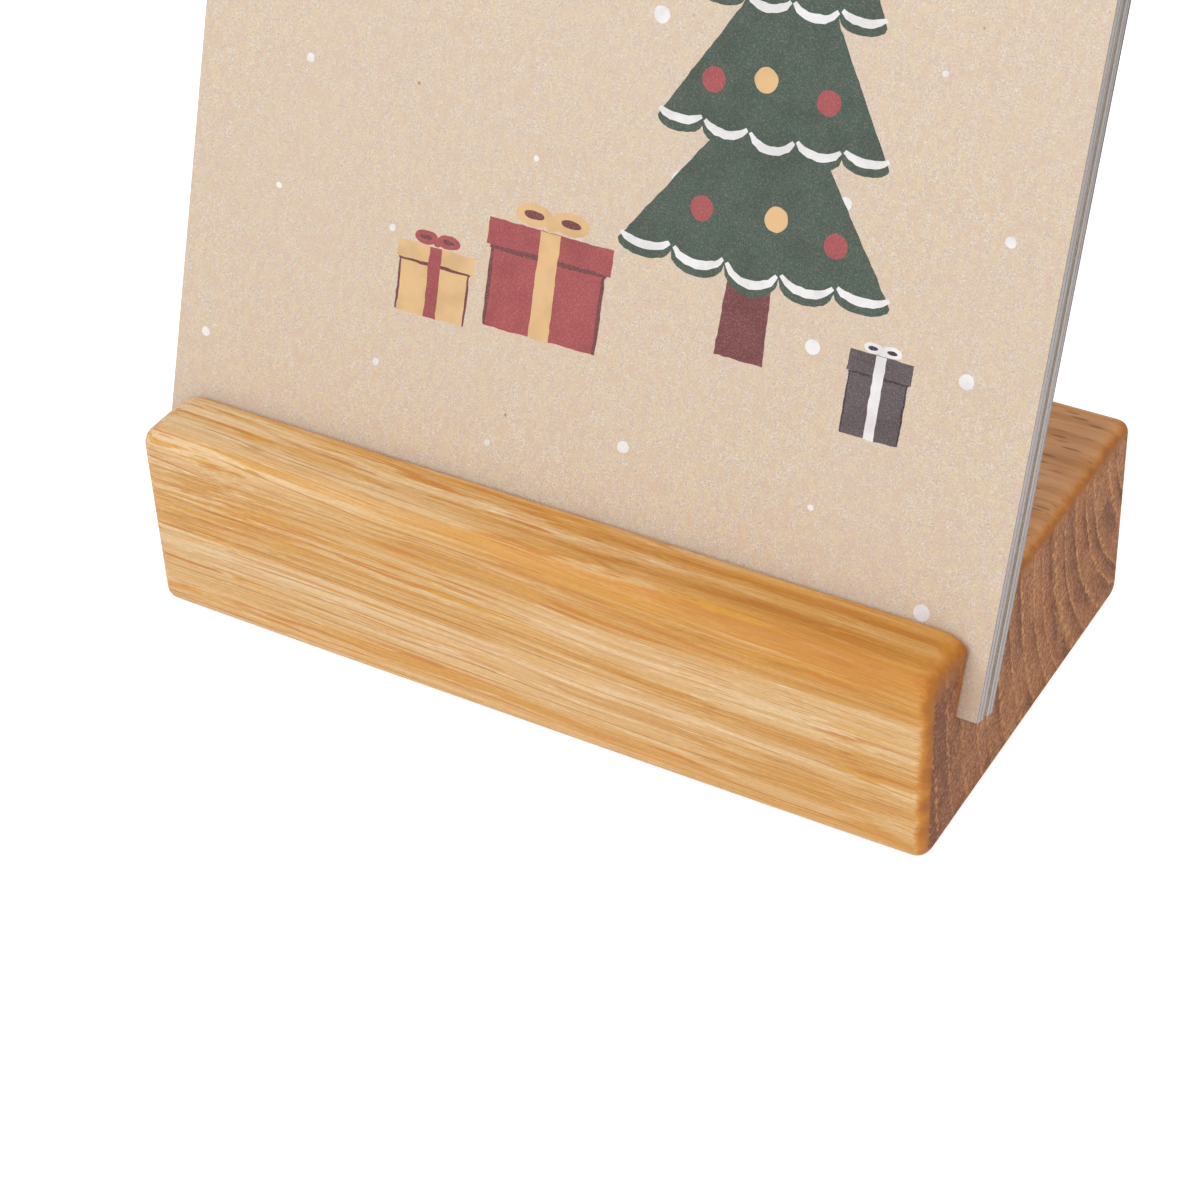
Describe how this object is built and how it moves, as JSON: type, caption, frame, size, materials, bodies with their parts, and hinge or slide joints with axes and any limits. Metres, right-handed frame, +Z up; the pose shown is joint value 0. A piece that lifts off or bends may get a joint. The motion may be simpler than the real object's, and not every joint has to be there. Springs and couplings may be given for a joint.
{
  "type": "photo block holder",
  "caption": "Solid oak block with a slanted groove along its top, in which thick picture cards stand upright and lean back for display.",
  "frame": {"origin": "middle of the block's underside, on the surface that it stands on", "axes": "+Z up; +X along the block, its grain and its groove, to the right of someone who faces the cards; -Y towards that person, so that the cards lean back towards +Y"},
  "size_m": [0.105, 0.0598, 0.1551],
  "materials": {
    "oak": "oiled solid oak, sanded smooth, with growth rings on the ends and long pores on the faces",
    "printed_card": "thick uncoated board, kraft-brown print on the front, plain off-white edges and back"
  },
  "bodies": {
    "block": {"oak_block": "oak"},
    "front_card": {"front_card": "printed_card"},
    "second_card": {"second_card": "printed_card"},
    "third_card": {"third_card": "printed_card"},
    "back_card": {"back_card": "printed_card"}
  },
  "joints": [
    {"name": "front_card_lift", "type": "slide", "parent": "block", "child": "front_card", "axis": [0, 0.333, 0.9429], "range_m": [0, 0.016]},
    {"name": "second_card_lift", "type": "slide", "parent": "block", "child": "second_card", "axis": [0, 0.333, 0.9429], "range_m": [0, 0.016]},
    {"name": "third_card_lift", "type": "slide", "parent": "block", "child": "third_card", "axis": [0, 0.3289, 0.9444], "range_m": [0, 0.016]},
    {"name": "back_card_lift", "type": "slide", "parent": "block", "child": "back_card", "axis": [0, 0.3289, 0.9444], "range_m": [0, 0.016]}
  ]
}
